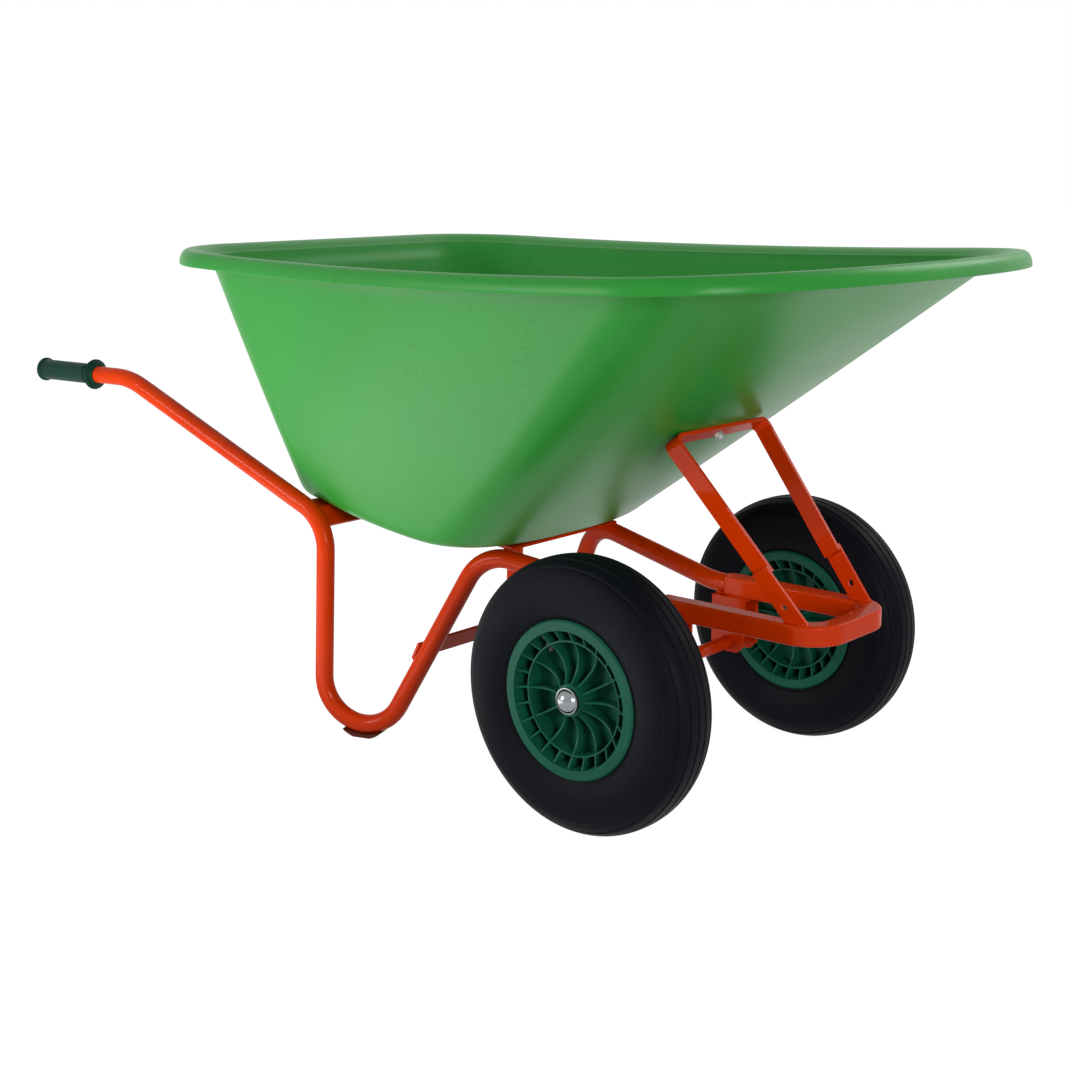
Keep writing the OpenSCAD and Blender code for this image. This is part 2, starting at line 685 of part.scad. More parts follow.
// Yoke: in the frame of the tray's front, X up the slope and Z into the tray; each leg leans in by the toe
lean = tan(yoke_skew);
yoke_bend = [0, yoke_half - yoke_r, -yoke_t - yoke_r - seat_gap];
module at_yoke_leg() {
  at_front(yoke_up) translate(yoke_bend) rotate([-yoke_toe, 0, 0]) children();
}
function leg_edge(side, l) = [side * yoke_w / 2 + l * lean, -l];
module leg_plate(from, to_front, to_back, thickness) {
  rotate([90, 0, 0]) linear_extrude(thickness)
    polygon([leg_edge(-1, from), leg_edge(1, from), leg_edge(1, to_front), leg_edge(-1, to_back)]);
}
module yoke_leg() {
  at_yoke_leg() {
    rotate([90, 0, 90]) rotate_extrude(angle = 90 + yoke_toe)
      translate([yoke_r + stretch, stretch - yoke_w / 2]) square([yoke_t, yoke_w] - [2, 2] * stretch);
    translate([0, yoke_r + yoke_t, 0]) leg_plate(-lap, yoke_len, yoke_len, yoke_t);
  }
}
module yoke() {
  color(paint_c) place() difference() {
    union() {
      at_front(yoke_up) translate([-yoke_w / 2, -yoke_bend.y - lap, -yoke_t - seat_gap])
        cube([yoke_w, 2 * (yoke_bend.y + lap), yoke_t]);
      yoke_leg();
      right_side() yoke_leg();
    }
    at_front(yoke_up) translate([0, 0, -yoke_t - seat_gap - over])
      cylinder(d = bolt_d + 2 * hole_gap, h = yoke_t + 2 * over);
  }
}

// Lug: laps over the outside of the yoke's leg and stands on the rail
lug_in = yoke_r + yoke_t + weld_gap;
function leg_reach(z, side) =
  (front_point(yoke_up).z - z + side * yoke_w / 2 * sin(front_slope)
    + (yoke_bend.z - lug_in * sin(yoke_toe)) * cos(front_slope))
  / (cos(yoke_toe) * cos(front_slope) - lean * sin(front_slope));
rail_top_z = rail_z + tube_r;
lug_hole_z = rail_top_z + lug_hole_rise;
module yoke_lug() {
  hole = leg_edge(0, leg_reach(lug_hole_z, 0));
  color(paint_c) difference() {
    at_yoke_leg() translate([0, lug_in + lug_t, 0]) difference() {
      leg_plate(yoke_len - lug_lap, leg_reach(rail_z, 1), leg_reach(rail_z, -1), lug_t);
      translate([hole.x, over, hole.y]) rotate([90, 0, 0]) cylinder(d = lug_hole_d, h = lug_t + 2 * over);
    }
    translate([0, 0, rail_top_z + weld_gap - tube_d]) cube([bow_front, track / 2, tube_d]);
  }
}

// Axle bracket: a folded channel under the rail with the axle through both cheeks
axle_z = wheel_d / 2;
module axle_bracket() {
  top = rail_z - tube_r - weld_gap;
  bottom = axle_z - bracket_foot;
  half = bracket_len / 2;
  color(paint_c) difference() {
    translate([0, rail_half + bracket_w / 2, 0]) rotate([90, 0, 0]) linear_extrude(bracket_w) polygon([
      [-half, top], [half, top], [half, bottom + bracket_chamfer], [half - bracket_chamfer, bottom],
      [bracket_chamfer - half, bottom], [-half, bottom + bracket_chamfer]]);
    translate([-half - over, rail_half - bracket_w / 2 + bracket_t, bottom - over])
      cube([bracket_len + 2 * over, bracket_w - 2 * bracket_t, top - bracket_t - bottom + over]);
    translate([0, rail_half - bracket_w / 2 - over, axle_z]) rotate([-90, 0, 0])
      cylinder(d = axle_d + 2 * hole_gap, h = bracket_w + 2 * over);
  }
}

// Along the axle, from the middle of a wheel outwards
cap_seat = hub_len / 2 + bush_flange_t + washer_t + 2 * seat_gap;
axle_half = track / 2 + cap_seat + cap_grip;
module axle() {
  r = axle_d / 2;
  color(shade_c) place() translate([0, -axle_half, axle_z]) rotate([-90, 0, 0]) rotate_extrude() polygon([
    [0, 0], [r - axle_chamfer, 0], [r, axle_chamfer], [r, 2 * axle_half - axle_chamfer],
    [r - axle_chamfer, 2 * axle_half], [0, 2 * axle_half]]);
}

module ring(outer, inner, height) {
  difference() {
    cylinder(d = outer, h = height);
    translate([0, 0, -over]) cylinder(d = inner, h = height + 2 * over);
  }
}

module spacer_tube() {
  from = rail_half + bracket_w / 2 + seat_gap;
  to = track / 2 - cap_seat;
  color(zinc_c) translate([0, from, axle_z]) rotate([-90, 0, 0])
    ring(spacer_d, axle_d + 2 * hole_gap, to - from);
}

module at_wheel() {
  translate([0, track / 2, axle_z]) rotate([-90, 0, 0]) children();
}
module both_faces() {
  children();
  mirror([0, 0, 1]) children();
}

module thrust_washers() {
  color(zinc_c) at_wheel() both_faces()
    translate([0, 0, hub_len / 2 + bush_flange_t + seat_gap]) ring(washer_d, axle_d + 2 * hole_gap, washer_t);
}

// Cap: a thin dome with a narrow rim, pushed over the axle's end
module axle_cap() {
  base_r = cap_d / 2 - cap_rim;
  dome_r = (base_r * base_r + cap_rise * cap_rise) / (2 * cap_rise);
  color(zinc_c) at_wheel() translate([0, 0, cap_seat]) difference() {
    union() {
      cylinder(d = cap_d, h = cap_t);
      intersection() {
        translate([0, 0, cap_rise - dome_r]) sphere(r = dome_r);
        cylinder(r = base_r, h = cap_rise);
      }
    }
    intersection() {
      translate([0, 0, cap_rise - dome_r]) sphere(r = dome_r - cap_t);
      translate([0, 0, -over]) cylinder(r = base_r, h = cap_rise + over);
    }
    translate([0, 0, -over]) cylinder(d = axle_d + 2 * hole_gap, h = over + cap_grip + seat_gap);
  }
}

// Tyre section: radius outwards, height across; widest at the belly, grooves between flat ribs on the tread
belly_r = wheel_d / 2 * belly_share;
crown = wheel_d / 2 - belly_r;
seat_r = bead_seat_d / 2;
bead_r = seat_r + seat_gap;
flange_r = rim_d / 2;
bead_h = rim_w / 2 - flange_t - seat_gap;
mouth_h = bead_h - bead_w;
tread_w = tyre_w * tread_share;
// The lower side is an ellipse that meets the edge of the flange
low_share = 2 * bead_h / tyre_w;
low_r = (belly_r - flange_r) / sqrt(1 - low_share * low_share);
low_angle = acos(low_share);
shoulder_angle = acos(pow(tread_share, tread_power / 2));
low_steps = 8;
shoulder_steps = 7;
cavity_steps = 24;
function low_point(a) = [belly_r - low_r * sin(a), tyre_w / 2 * cos(a)];
function shoulder_point(a) = [belly_r + crown * pow(sin(a), 2 / tread_power),
  tyre_w / 2 * pow(cos(a), 2 / tread_power)];
function tread_r(h) = belly_r + crown * pow(1 - pow(2 * abs(h) / tyre_w, tread_power), 1 / tread_power);
function tyre_side() = concat(
  [for (k = [low_steps : -1 : 1]) low_point(low_angle * k / low_steps)],
  [for (k = [0 : shoulder_steps]) shoulder_point(shoulder_angle * k / shoulder_steps)]);
function groove(k) =
  let (h = (k - (groove_count - 1) / 2) * tread_w / groove_count, floor_r = tread_r(h) - groove_depth)
  [[tread_r(h + groove_w / 2), h + groove_w / 2], [floor_r, h + groove_w / 4],
    [floor_r, h - groove_w / 4], [tread_r(h - groove_w / 2), h - groove_w / 2]];
function flip(points) = [for (i = [len(points) - 1 : -1 : 0]) [points[i].x, -points[i].y]];

// Hollow of the tyre, drawn smaller by an inset for the inner tube
function hollow_point(a, inset) = [
  belly_r + ((sin(a) > 0 ? crown - tread_wall : belly_r - bead_r - bead_w) - inset) * sin(a),
  (tyre_w / 2 - side_wall - inset) * cos(a)];
function mouth_angle(inset) = acos((mouth_h - inset) / (tyre_w / 2 - side_wall - inset));
function hollow(inset) = [for (k = [0 : cavity_steps])
  hollow_point(lerp(180 + mouth_angle(inset), -mouth_angle(inset), k / cavity_steps), inset)];

module tyre() {
  color(tyre_c) at_wheel() rotate_extrude() polygon(concat(
    [[bead_r, mouth_h], [bead_r, bead_h]], tyre_side(),
    [for (k = [groove_count - 1 : -1 : 0]) each groove(k)],
    flip(tyre_side()), [[bead_r, -bead_h], [bead_r, -mouth_h]], hollow(0)));
}

function tube_section(inset) = concat(hollow(inset),
  [[bead_r + inset, mouth_h - inset], [bead_r + inset, inset - mouth_h]]);
module inner_tube() {
  color(tyre_c) at_wheel() difference() {
    rotate_extrude() polygon(tube_section(hole_gap));
    rotate_extrude() polygon(tube_section(hole_gap + tube_skin));
  }
}

// Rim: one moulding of hub, web, barrel and flanges, stiffened by a hoop and by ribs on both faces
barrel_r = seat_r - barrel_t;
mouth_r = barrel_r + barrel_draft;
face_h = rim_w / 2;
hub_r = hub_d / 2;
hoop_r = hoop_d / 2;
bush_gap = 0.05;
flange_cut = 2.5;
pocket_angle = 360 / (2 * rib_count);
// The ribs meet the hoop this far below its edge
rib_step = 1;
rib_recess = hoop_recess + rib_step;
valve_angle = 232.5;
valve_notch_d = 14;
edge_rise_steps = 6;
function rib_edge(t) =
  [lerp(hub_r, hoop_r, t), face_h - lerp(hub_recess, rib_recess, t) - rib_dip * 4 * t * (1 - t)];
module rib_plate(points) {
  rotate([90, 0, 0]) linear_extrude(rib_t, center = true) polygon(points);
}
module at_valve() {
  rotate([0, 0, valve_angle]) translate([0, 0, valve_h]) rotate([0, 90, 0]) children();
}
module rim() {
  half_web = web_t / 2;
  half_hub = hub_len / 2;
  long_edge = [for (k = [0 : edge_rise_steps]) rib_edge(k / edge_rise_steps)];
  long_top = concat([[hub_r - over, long_edge[0].y]], long_edge);
  short_top = [[hoop_r, face_h - rib_recess], [mouth_r + over, face_h - pocket_recess]];
  bore_r = bush_d / 2 + bush_gap;
  section = [[bore_r, half_hub], [hub_r, half_hub], [hub_r, half_web], [barrel_r, half_web],
    [mouth_r, face_h], [flange_r - flange_cut, face_h], [flange_r, face_h - flange_cut],
    [flange_r, face_h - flange_t], [seat_r, face_h - flange_t]];
  color(rim_c) at_wheel() difference() {
    union() {
      rotate_extrude() polygon(concat(section, flip(section)));
      translate([0, 0, hoop_recess - face_h]) ring(hoop_d + hoop_t, hoop_d - hoop_t, rim_w - 2 * hoop_recess);
      for (k = [0 : rib_count - 1]) rotate([0, 0, 360 * k / rib_count])
        rib_plate(concat(long_top, flip(long_top)));
      for (k = [0 : 2 * rib_count - 1]) rotate([0, 0, pocket_angle * k])
        rib_plate(concat(short_top, flip(short_top)));
    }
    at_valve() translate([0, 0, valve_cap_r - over]) {
      cylinder(d = valve_d + 2 * hole_gap, h = valve_len + valve_cap_len);
      cylinder(d = valve_notch_d, h = barrel_r - valve_cap_r);
    }
  }
}

module hub_bushes() {
  color(zinc_c) at_wheel() both_faces() difference() {
    union() {
      translate([0, 0, hub_len / 2 - bush_len]) cylinder(d = bush_d, h = bush_len + bush_flange_t);
      translate([0, 0, hub_len / 2 + bush_gap]) cylinder(d = bush_flange_d, h = bush_flange_t - bush_gap);
    }
    translate([0, 0, hub_len / 2 - bush_len - over])
      cylinder(d = axle_d + 2 * run_gap, h = bush_len + bush_flange_t + 2 * over);
  }
}

// Valve: points at the axle from the barrel, closed by a small cap
valve_flange_r = barrel_r - valve_flange_t - seat_gap;
valve_tip_r = seat_r - valve_len;
valve_cap_r = valve_tip_r - valve_cap_len / 2;
module valve() {
  color(zinc_c) at_wheel() at_valve() {
    translate([0, 0, valve_tip_r]) cylinder(d = valve_d, h = valve_len);
    translate([0, 0, valve_flange_r]) cylinder(d = valve_flange_d, h = valve_flange_t);
  }
}
module valve_cap() {
  color(tyre_c) at_wheel() at_valve() translate([0, 0, valve_cap_r]) difference() {
    cylinder(d = valve_cap_d, h = valve_cap_len);
    translate([0, 0, valve_tip_r - valve_cap_r - seat_gap])
      cylinder(d = valve_d + 2 * bush_gap, h = valve_cap_len);
  }
}

// Fasteners: the head inside the tray, the nut below the bar
bolt_chamfer = 1;
head_shares = [[1, 0], [0.85, 0.55], [0.5, 0.9], [0, 1]];
function head_at() = tray_wall + bolt_washer_t + 2 * seat_gap;
module bolt(stack) {
  r = bolt_d / 2;
  low = -stack - nut_h - bolt_tip;
  rotate_extrude() polygon(concat(
    [[0, low], [r - bolt_chamfer, low], [r, low + bolt_chamfer], [r, head_at()]],
    [for (h = head_shares) [bolt_head_d / 2 * h.x, head_at() + bolt_head_h * h.y]]));
}
module bolt_washer() {
  translate([0, 0, tray_wall + seat_gap]) ring(bolt_washer_d, bolt_d + 2 * hole_gap, bolt_washer_t);
}
module bolt_nut(stack) {
  translate([0, 0, -stack - nut_h]) difference() {
    cylinder(d = nut_w / cos(30), h = nut_h, $fn = 6);
    translate([0, 0, -over]) cylinder(d = bolt_d + 2 * bush_gap, h = nut_h + 2 * over);
  }
}
floor_stack = flat_t + 2 * seat_gap;
yoke_stack = yoke_t + 2 * seat_gap;
module tray_bolts() {
  color(zinc_c) place() at_floor_bolts() bolt(floor_stack);
}
module tray_washers() {
  color(zinc_c) place() at_floor_bolts() bolt_washer();
}
module tray_nuts() {
  color(zinc_c) place() at_floor_bolts() bolt_nut(floor_stack);
}
module yoke_bolt() {
  color(zinc_c) place() at_front(yoke_up) bolt(yoke_stack);
}
module yoke_washer() {
  color(zinc_c) place() at_front(yoke_up) bolt_washer();
}
module yoke_nut() {
  color(zinc_c) place() at_front(yoke_up) bolt_nut(yoke_stack);
}

module left_side_tube() {
  place() side_tube();
}
module right_side_tube() {
  place() right_side() side_tube();
}
module left_grip() {
  place() grip();
}
module right_grip() {
  place() right_side() grip();
}
module left_wear_shoe() {
  place() wear_shoe();
}
module right_wear_shoe() {
  place() right_side() wear_shoe();
}
module left_yoke_lug() {
  place() yoke_lug();
}
module right_yoke_lug() {
  place() right_side() yoke_lug();
}
module left_axle_bracket() {
  place() axle_bracket();
}
module right_axle_bracket() {
  place() right_side() axle_bracket();
}
module left_spacer_tube() {
  place() spacer_tube();
}
module right_spacer_tube() {
  place() right_side() spacer_tube();
}
module left_thrust_washers() {
  place() thrust_washers();
}
module right_thrust_washers() {
  place() right_side() thrust_washers();
}
module left_axle_cap() {
  place() axle_cap();
}
module right_axle_cap() {
  place() right_side() axle_cap();
}
module left_tyre() {
  place() tyre();
}
module right_tyre() {
  place() right_side() tyre();
}
module left_inner_tube() {
  place() inner_tube();
}
module right_inner_tube() {
  place() right_side() inner_tube();
}
module left_rim() {
  place() rim();
}
module right_rim() {
  place() right_side() rim();
}
module left_hub_bushes() {
  place() hub_bushes();
}
module right_hub_bushes() {
  place() right_side() hub_bushes();
}
module left_valve() {
  place() valve();
}
module right_valve() {
  place() right_side() valve();
}
module left_valve_cap() {
  place() valve_cap();
}
module right_valve_cap() {
  place() right_side() valve_cap();
}

tray();
left_side_tube();
right_side_tube();
front_bow();
left_grip();
right_grip();
rear_cross_plate();
floor_strip();
lower_crossbar();
left_wear_shoe();
right_wear_shoe();
yoke();
left_yoke_lug();
right_yoke_lug();
left_axle_bracket();
right_axle_bracket();
axle();
left_spacer_tube();
right_spacer_tube();
left_thrust_washers();
right_thrust_washers();
left_axle_cap();
right_axle_cap();
left_tyre();
right_tyre();
left_inner_tube();
right_inner_tube();
left_rim();
right_rim();
left_hub_bushes();
right_hub_bushes();
left_valve();
right_valve();
left_valve_cap();
right_valve_cap();
tray_bolts();
tray_washers();
tray_nuts();
yoke_bolt();
yoke_washer();
yoke_nut();
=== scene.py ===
# %% [markdown]
# # A two wheel wheelbarrow
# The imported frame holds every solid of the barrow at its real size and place. This lesson dresses it:
# finer skins for the tray and the tyres, weld beads, softened edges, and a finish for every piece.
# One unit is a metre, +X points to the tray's nose, +Y to the left, and the ground is at z = 0.

# %% Load the frame
import json
import math

import bpy
import numpy as np
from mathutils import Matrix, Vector


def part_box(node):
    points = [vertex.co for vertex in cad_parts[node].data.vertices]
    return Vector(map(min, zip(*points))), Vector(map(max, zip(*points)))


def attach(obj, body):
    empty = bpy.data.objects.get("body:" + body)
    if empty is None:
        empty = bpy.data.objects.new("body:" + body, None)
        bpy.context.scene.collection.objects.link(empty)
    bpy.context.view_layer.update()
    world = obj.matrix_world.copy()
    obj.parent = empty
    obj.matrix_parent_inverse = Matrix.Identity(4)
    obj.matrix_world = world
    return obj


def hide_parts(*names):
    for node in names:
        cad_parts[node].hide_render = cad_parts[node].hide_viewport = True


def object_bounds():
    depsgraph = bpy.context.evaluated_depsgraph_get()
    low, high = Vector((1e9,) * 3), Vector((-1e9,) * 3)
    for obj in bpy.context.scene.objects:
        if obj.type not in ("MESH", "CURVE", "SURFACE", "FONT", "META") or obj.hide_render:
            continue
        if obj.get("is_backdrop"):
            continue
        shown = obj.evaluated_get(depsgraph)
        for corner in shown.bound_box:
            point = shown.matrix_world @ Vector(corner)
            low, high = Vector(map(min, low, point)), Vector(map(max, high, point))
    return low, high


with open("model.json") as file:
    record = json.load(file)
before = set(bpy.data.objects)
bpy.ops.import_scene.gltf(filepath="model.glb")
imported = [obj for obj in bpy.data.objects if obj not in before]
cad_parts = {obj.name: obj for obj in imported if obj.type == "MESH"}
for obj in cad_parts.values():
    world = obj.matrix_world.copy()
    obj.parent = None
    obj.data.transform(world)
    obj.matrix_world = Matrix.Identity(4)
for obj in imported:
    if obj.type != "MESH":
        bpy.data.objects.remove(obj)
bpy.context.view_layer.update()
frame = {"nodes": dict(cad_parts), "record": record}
parts = frame["nodes"]
slot_of = {row["node"]: row["material_slot"] for row in frame["record"]["subparts"]}
axle_low, axle_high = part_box("axle")
AXLE = (axle_low + axle_high) / 2
print(len(parts), "solids, the axle stands", round(AXLE.z, 3), "m above the ground")

# %% [markdown]
# ## Helpers for node trees
# A finish is a small tree of shader nodes. Two helpers keep the trees short: one adds a node and
# feeds its sockets, the other opens a node group with named inputs and outputs.

# %% Add a node, open a group
def add_node(tree, kind, feeds=None, **settings):
    """Adds a node; feeds maps a socket's name or number to a value or to another node's output."""
    node = tree.nodes.new(kind)
    for key, value in settings.items():
        setattr(node, key, value)
    for socket, value in (feeds or {}).items():
        if isinstance(value, bpy.types.NodeSocket):
            tree.links.new(value, node.inputs[socket])
        else:
            node.inputs[socket].default_value = value
    return node


def open_group(name, inputs, outputs):
    """Starts a shader group and returns it with its input and output nodes."""
    group = bpy.data.node_groups.new(name, "ShaderNodeTree")
    for label, start in inputs.items():
        socket = group.interface.new_socket(label, in_out="INPUT", socket_type="NodeSocketFloat")
        socket.default_value = start
    for label in outputs:
        group.interface.new_socket(label, in_out="OUTPUT", socket_type="NodeSocketFloat")
    return group, group.nodes.new("NodeGroupInput"), group.nodes.new("NodeGroupOutput")


# %% [markdown]
# ## Grain and clouds, shared by every finish
# No real surface is one even colour. Moulded plastic has a fine grain, paint an orange-peel skin and
# rubber a dull bloom. An image could hold all that, but noise in the piece's own coordinates needs no
# unwrapping and keeps its size in millimetres. One group gives the fine height, slow clouds and specks.

# %% The surface grain group
grain_group, grain_in, grain_out = open_group(
    "surface_grain", {"Grain": 900.0, "Cloud": 6.0, "Speck": 60.0}, ["Height", "Clouds", "Specks"])
here = add_node(grain_group, "ShaderNodeTexCoord").outputs["Object"]
fine = add_node(grain_group, "ShaderNodeTexNoise",
                {"Vector": here, "Scale": grain_in.outputs["Grain"], "Detail": 2.0})
wide = add_node(grain_group, "ShaderNodeTexNoise",
                {"Vector": here, "Scale": grain_in.outputs["Cloud"], "Detail": 3.0})
dots = add_node(grain_group, "ShaderNodeTexNoise",
                {"Vector": here, "Scale": grain_in.outputs["Speck"], "Detail": 0.0})
cloud_range = add_node(grain_group, "ShaderNodeMapRange",
                       {"Value": wide.outputs["Fac"], "From Min": 0.3, "From Max": 0.7})
speck_range = add_node(grain_group, "ShaderNodeMapRange",
                       {"Value": dots.outputs["Fac"], "From Min": 0.78, "From Max": 0.82})
grain_group.links.new(fine.outputs["Fac"], grain_out.inputs["Height"])
grain_group.links.new(cloud_range.outputs["Result"], grain_out.inputs["Clouds"])
grain_group.links.new(speck_range.outputs["Result"], grain_out.inputs["Specks"])
print("group", grain_group.name, "with", len(grain_group.nodes), "nodes")

# %% [markdown]
# ## Rings round the axle
# A tyre is pressed in a turned mould, and fine circles stay on its sides. They could be cut in the
# mesh, but they are thinner than a hair, so a sine of the distance from the axle makes the height.

# %% The turned rings group
ring_group, ring_in, ring_out = open_group("turned_rings", {"Rings": 400.0}, ["Height"])
ring_at = add_node(ring_group, "ShaderNodeTexCoord").outputs["Object"]
from_axle = add_node(ring_group, "ShaderNodeVectorMath", {0: ring_at, 1: (AXLE.x, 0.0, AXLE.z)},
                     operation="SUBTRACT")
in_plane = add_node(ring_group, "ShaderNodeVectorMath",
                    {0: from_axle.outputs["Vector"], 1: (1.0, 0.0, 1.0)}, operation="MULTIPLY")
radius = add_node(ring_group, "ShaderNodeVectorMath", {0: in_plane.outputs["Vector"]}, operation="LENGTH")
turns = add_node(ring_group, "ShaderNodeMath",
                 {0: radius.outputs["Value"], 1: ring_in.outputs["Rings"]}, operation="MULTIPLY")
angle = add_node(ring_group, "ShaderNodeMath", {0: turns.outputs["Value"], 1: math.tau}, operation="MULTIPLY")
wave = add_node(ring_group, "ShaderNodeMath", {0: angle.outputs["Value"]}, operation="SINE")
ring_group.links.new(wave.outputs["Value"], ring_out.inputs["Height"])
print("group", ring_group.name)

# %% [markdown]
# ## One recipe for a finish
# Every finish here is two near colours that drift into each other, a roughness that drifts with them,
# and a fine bump. Writing each tree by hand would hide what differs, so one function takes the values.

# %% The finish recipe
finishes = {}


def make_finish(slot, deep, bright, rough, grain, bump, cloud=5.0, spread=0.05, metal=0.0, coat=0.0,
                shine=0.5, speck=60.0, speck_colour=None, rings=0.0):
    """A Principled finish in two colours with grain, drifting roughness and, if asked, rings."""
    mat = bpy.data.materials.new(slot)
    mat.use_nodes = True
    tree = mat.node_tree
    skin = tree.nodes["Principled BSDF"]
    skin.inputs["Metallic"].default_value = metal
    skin.inputs["Specular IOR Level"].default_value = shine
    skin.inputs["Coat Weight"].default_value = coat
    skin.inputs["Coat Roughness"].default_value = 0.06
    texture = add_node(tree, "ShaderNodeGroup", node_tree=grain_group)
    for label, value in (("Grain", grain), ("Cloud", cloud), ("Speck", speck)):
        texture.inputs[label].default_value = value
    colour = add_node(tree, "ShaderNodeMix",
                      {0: texture.outputs["Clouds"], 6: (*deep, 1.0), 7: (*bright, 1.0)}, data_type="RGBA")
    if speck_colour:
        colour = add_node(tree, "ShaderNodeMix", {0: texture.outputs["Specks"], 6: colour.outputs[2],
                                                  7: (*speck_colour, 1.0)}, data_type="RGBA")
    tree.links.new(colour.outputs[2], skin.inputs["Base Color"])
    dull = add_node(tree, "ShaderNodeMapRange", {"Value": texture.outputs["Clouds"],
                                                 "To Min": rough - spread, "To Max": rough + spread})
    tree.links.new(dull.outputs["Result"], skin.inputs["Roughness"])
    relief = texture.outputs["Height"]
    if rings:
        turned = add_node(tree, "ShaderNodeGroup", node_tree=ring_group)
        turned.inputs["Rings"].default_value = rings
        relief = add_node(tree, "ShaderNodeMath", {0: turned.outputs["Height"], 1: 0.35, 2: relief},
                          operation="MULTIPLY_ADD").outputs["Value"]
    dent = add_node(tree, "ShaderNodeBump", {"Height": relief, "Strength": 1.0, "Distance": bump})
    tree.links.new(dent.outputs["Normal"], skin.inputs["Normal"])
    finishes[slot] = mat
    return mat


# %% [markdown]
# ## The tray's plastic
# The tray is pressed from a coloured sheet: a bright green with a satin skin that mirrors the white
# floor softly, a very fine grain and a few specks. A pale coat would fake the sheen in one view only,
# so the roughness alone makes it.

# %% Tray plastic
make_finish("tray_plastic", (0.024, 0.290, 0.032), (0.029, 0.328, 0.040), rough=0.36, grain=700.0,
            bump=0.00002, cloud=3.0, shine=0.20, speck=130.0, speck_colour=(0.018, 0.26, 0.019))
print("finishes so far:", list(finishes))

# %% [markdown]
# ## Frame paint
# The tubes and bars carry a thick gloss enamel: orange where light falls, deep red in the shade, with
# sharp highlights. A coat over a slightly rough base gives both the sharp and the soft part of the shine.

# %% Frame paint
make_finish("frame_paint", (0.65, 0.034, 0.0003), (0.75, 0.046, 0.0005), rough=0.30, grain=250.0,
            bump=0.000008, cloud=9.0, coat=0.15, shine=0.02)
print("frame paint on", sum(s == "frame_paint" for s in slot_of.values()), "solids")

# %% [markdown]
# ## Wheel, grip and shoe plastics
# The wheel centres are a deep sea green with a satin moulded face, the grips a softer dark green with
# a leathery grain, and the bushes and valve caps plain dark plastics. The wear shoes get a dark
# red-brown finish, which is painted shade: the red paint of the frame as it looks in shadow.

# %% Plastics
make_finish("rim_plastic", (0.005, 0.085, 0.050), (0.008, 0.108, 0.064), rough=0.40, grain=800.0,
            bump=0.00003, cloud=14.0, shine=0.12)
make_finish("grip_plastic", (0.001, 0.026, 0.014), (0.002, 0.036, 0.020), rough=0.48, grain=1300.0,
            bump=0.00008, cloud=22.0, shine=0.12)
# Painted shade: this dark red-brown for the wear shoes is the red frame paint as it looks in shadow.
make_finish("shoe_plastic", (0.050, 0.006, 0.003), (0.105, 0.012, 0.005), rough=0.55, grain=500.0,
            bump=0.0001, cloud=40.0, shine=0.2)
make_finish("cap_plastic", (0.012, 0.012, 0.013), (0.022, 0.022, 0.023), rough=0.5, grain=900.0,
            bump=0.00006)
make_finish("bush_plastic", (0.016, 0.016, 0.017), (0.030, 0.030, 0.031), rough=0.5, grain=900.0,
            bump=0.00006)
print("finishes so far:", list(finishes))

# %% [markdown]
# ## Rubber
# Tyre rubber is a blue-black with a dull bloom that drifts over the side, and fine moulded circles.
# The inner tube is the same black without the circles.

# %% Rubber
make_finish("tyre_rubber", (0.0036, 0.0039, 0.0064), (0.0054, 0.0058, 0.0092), rough=0.50, grain=650.0,
            bump=0.00010, cloud=11.0, spread=0.08, shine=0.05, rings=330.0)
make_finish("tube_rubber", (0.010, 0.010, 0.011), (0.018, 0.018, 0.019), rough=0.5, grain=500.0,
            bump=0.00008)
print("finishes so far:", list(finishes))

# %% [markdown]
# ## Metals
# The axle caps are bright plated, the bolts, nuts, washers and spacers have a greyer zinc skin, and
# the valves are brass. For a metal the base colour is the colour of its shine. The caps' colour is a dark
# grey, which is painted shade: it stands in for the darker room that the bright plating mirrors.

# %% Metals
# Painted shade: the caps' dark grey stands in for the darker surroundings that their plating mirrors.
make_finish("cap_chrome", (0.22, 0.23, 0.24), (0.28, 0.29, 0.30), rough=0.16, grain=300.0,
            bump=0.00002, metal=1.0, spread=0.03)
make_finish("zinc_steel", (0.42, 0.43, 0.45), (0.58, 0.59, 0.60), rough=0.34, grain=1500.0,
            bump=0.00006, cloud=60.0, metal=1.0)
make_finish("valve_brass", (0.52, 0.38, 0.15), (0.66, 0.50, 0.22), rough=0.3, grain=900.0,
            bump=0.00004, metal=1.0)
for name, solid in parts.items():
    solid.data.materials.clear()
    solid.data.materials.append(finishes[slot_of[name]])
print(len(finishes), "finishes on", len(parts), "solids")

# %% [markdown]
# ## Softened edges
# A sawn or folded edge is never razor sharp: paint gathers on it and it catches a thin line of light.
# The solids have sharp edges, so a bevel on each bar and plate makes that line. The bevel needs joined
# corners, so a weld of the points comes first.

# %% Bevel the bars and plates
JOIN_GAP = 0.00002
SHARP_ANGLE = math.radians(40)


def soften(name, width, segments=2):
    """Rounds a solid's sharp edges by a modifier, which leaves its own points alone."""
    solid = parts[name]
    join = solid.modifiers.new("join", "WELD")
    join.merge_threshold = JOIN_GAP
    edge = solid.modifiers.new("edge", "BEVEL")
    edge.width = width
    edge.segments = segments
    edge.limit_method = "ANGLE"
    edge.angle_limit = SHARP_ANGLE
    edge.use_clamp_overlap = True
    edge.harden_normals = True


